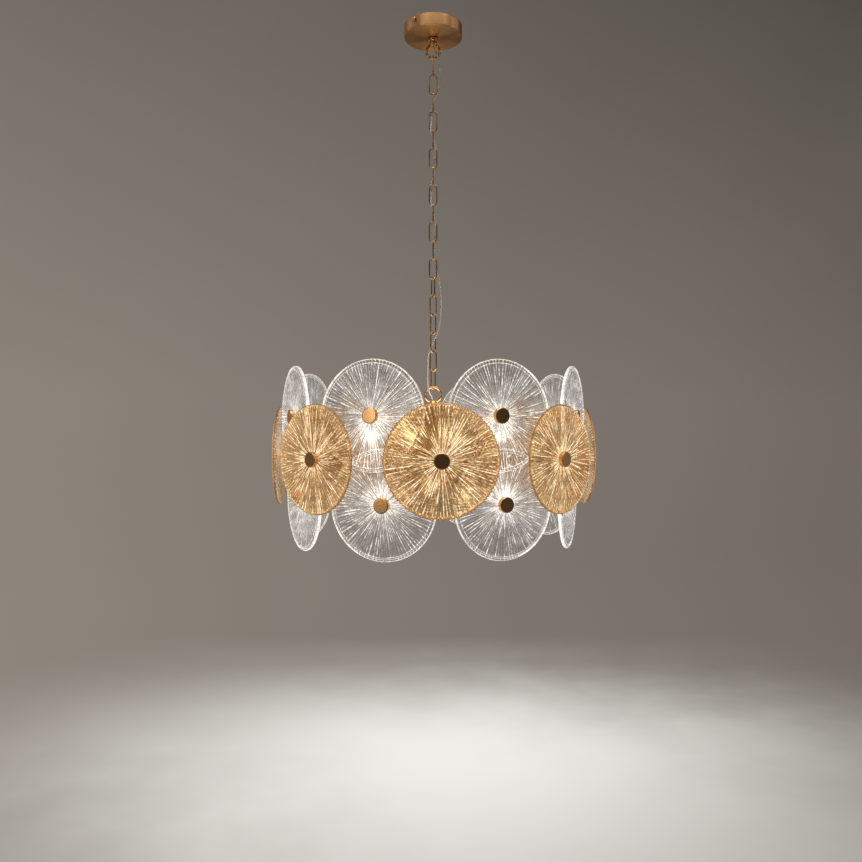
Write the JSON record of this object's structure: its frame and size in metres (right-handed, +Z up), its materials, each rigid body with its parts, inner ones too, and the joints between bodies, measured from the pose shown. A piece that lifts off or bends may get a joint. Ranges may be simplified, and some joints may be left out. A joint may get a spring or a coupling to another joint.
{
  "type": "pendant light",
  "caption": "Drum of overlapping pressed glass discs in three tiers round a brass frame with lamps, hung from a ceiling canopy on a chain.",
  "frame": {"origin": "on the ceiling plane, at the middle of the mounting plate's flat top", "axes": "+Z up, -Y the front, +X to the right as seen from the front"},
  "size_m": [0.5434, 0.5434, 0.8885],
  "materials": {
    "polished_brass": "polished",
    "canopy_brass": "satin antique",
    "plate_steel": "zinc plated",
    "white_plastic": "matte",
    "flex_plastic": "clear sleeve",
    "amber_glass": "pressed, fluted",
    "clear_glass": "pressed, fluted",
    "bulb_glass": "frosted"
  },
  "bodies": {
    "ceiling": {"mounting_plate": "plate_steel", "terminal_block": "white_plastic", "canopy_cup": "canopy_brass", "canopy_screw": "polished_brass", "loop_collar": "polished_brass", "canopy_loop": "polished_brass", "flex": "flex_plastic"},
    "link_01": {"chain_link_01": "polished_brass"},
    "link_02": {"chain_link_02": "polished_brass"},
    "link_03": {"chain_link_03": "polished_brass"},
    "link_04": {"chain_link_04": "polished_brass"},
    "link_05": {"chain_link_05": "polished_brass"},
    "link_06": {"chain_link_06": "polished_brass"},
    "link_07": {"chain_link_07": "polished_brass"},
    "link_08": {"chain_link_08": "polished_brass"},
    "link_09": {"chain_link_09": "polished_brass"},
    "link_10": {"chain_link_10": "polished_brass"},
    "link_11": {"chain_link_11": "polished_brass"},
    "link_12": {"chain_link_12": "polished_brass"},
    "link_13": {"chain_link_13": "polished_brass"},
    "link_14": {"chain_link_14": "polished_brass"},
    "link_15": {"chain_link_15": "polished_brass"},
    "link_16": {"chain_link_16": "polished_brass"},
    "link_17": {"chain_link_17": "polished_brass"},
    "link_18": {"chain_link_18": "polished_brass"},
    "drum": {"drum_loop": "polished_brass", "drum_stem": "polished_brass", "drum_frame": "polished_brass", "amber_disc_01": "amber_glass", "amber_disc_02": "amber_glass", "amber_disc_03": "amber_glass", "amber_disc_04": "amber_glass", "amber_disc_05": "amber_glass", "amber_disc_06": "amber_glass", "amber_disc_07": "amber_glass", "amber_disc_08": "amber_glass", "upper_disc_01": "clear_glass", "upper_disc_02": "clear_glass", "upper_disc_03": "clear_glass", "upper_disc_04": "clear_glass", "upper_disc_05": "clear_glass", "upper_disc_06": "clear_glass", "upper_disc_07": "clear_glass", "upper_disc_08": "clear_glass", "lower_disc_01": "clear_glass", "lower_disc_02": "clear_glass", "lower_disc_03": "clear_glass", "lower_disc_04": "clear_glass", "lower_disc_05": "clear_glass", "lower_disc_06": "clear_glass", "lower_disc_07": "clear_glass", "lower_disc_08": "clear_glass", "bulb_01": "bulb_glass", "bulb_02": "bulb_glass", "bulb_03": "bulb_glass", "bulb_04": "bulb_glass", "bulb_05": "bulb_glass", "bulb_06": "bulb_glass", "bulb_07": "bulb_glass", "bulb_08": "bulb_glass"}
  },
  "joints": [
    {"name": "chain_swing", "type": "hinge", "parent": "ceiling", "child": "link_01", "pos_m": [0, 0, -0.0565], "axis": [1, 0, 0], "range_deg": [-30, 30], "deforming": ["flex"]},
    {"name": "link_02_swing", "type": "hinge", "parent": "link_01", "child": "link_02", "pos_m": [0, 0, -0.08715], "axis": [0, 1, 0], "range_deg": [-30, 30]},
    {"name": "link_03_swing", "type": "hinge", "parent": "link_02", "child": "link_03", "pos_m": [0, 0, -0.11885], "axis": [-1, 0, 0], "range_deg": [-30, 30]},
    {"name": "link_04_swing", "type": "hinge", "parent": "link_03", "child": "link_04", "pos_m": [0, 0, -0.15055], "axis": [0, -1, 0], "range_deg": [-30, 30]},
    {"name": "link_05_swing", "type": "hinge", "parent": "link_04", "child": "link_05", "pos_m": [0, 0, -0.18225], "axis": [1, 0, 0], "range_deg": [-30, 30]},
    {"name": "link_06_swing", "type": "hinge", "parent": "link_05", "child": "link_06", "pos_m": [0, 0, -0.21395], "axis": [0, 1, 0], "range_deg": [-30, 30]},
    {"name": "link_07_swing", "type": "hinge", "parent": "link_06", "child": "link_07", "pos_m": [0, 0, -0.24565], "axis": [-1, 0, 0], "range_deg": [-30, 30]},
    {"name": "link_08_swing", "type": "hinge", "parent": "link_07", "child": "link_08", "pos_m": [0, 0, -0.27735], "axis": [0, -1, 0], "range_deg": [-30, 30]},
    {"name": "link_09_swing", "type": "hinge", "parent": "link_08", "child": "link_09", "pos_m": [0, 0, -0.30905], "axis": [1, 0, 0], "range_deg": [-30, 30]},
    {"name": "chain_twist", "type": "hinge", "parent": "link_09", "child": "link_10", "pos_m": [0, 0, -0.34075], "axis": [0, 0, 1], "range_deg": [-20, 20]},
    {"name": "link_11_swing", "type": "hinge", "parent": "link_10", "child": "link_11", "pos_m": [0, 0, -0.37245], "axis": [-1, 0, 0], "range_deg": [-30, 30]},
    {"name": "link_12_swing", "type": "hinge", "parent": "link_11", "child": "link_12", "pos_m": [0, 0, -0.40415], "axis": [0, -1, 0], "range_deg": [-30, 30]},
    {"name": "link_13_swing", "type": "hinge", "parent": "link_12", "child": "link_13", "pos_m": [0, 0, -0.43585], "axis": [0.9764, 0.2158, 0], "range_deg": [-30, 30]},
    {"name": "link_14_swing", "type": "hinge", "parent": "link_13", "child": "link_14", "pos_m": [0, 0, -0.46755], "axis": [-0.4115, 0.9114, 0], "range_deg": [-30, 30]},
    {"name": "link_15_swing", "type": "hinge", "parent": "link_14", "child": "link_15", "pos_m": [0, 0, -0.49925], "axis": [-0.82, -0.5724, 0], "range_deg": [-30, 30]},
    {"name": "link_16_swing", "type": "hinge", "parent": "link_15", "child": "link_16", "pos_m": [0, 0, -0.53095], "axis": [0.6919, -0.722, 0], "range_deg": [-30, 30]},
    {"name": "link_17_swing", "type": "hinge", "parent": "link_16", "child": "link_17", "pos_m": [0, 0, -0.56265], "axis": [0.6367, 0.7711, 0], "range_deg": [-30, 30]},
    {"name": "link_18_swing", "type": "hinge", "parent": "link_17", "child": "link_18", "pos_m": [0, 0, -0.59435], "axis": [-0.8151, 0.5793, 0], "range_deg": [-30, 30]},
    {"name": "drum_swing", "type": "hinge", "parent": "link_18", "child": "drum", "pos_m": [0, 0, -0.62605], "axis": [-0.5592, -0.829, 0], "range_deg": [-30, 30]}
  ]
}
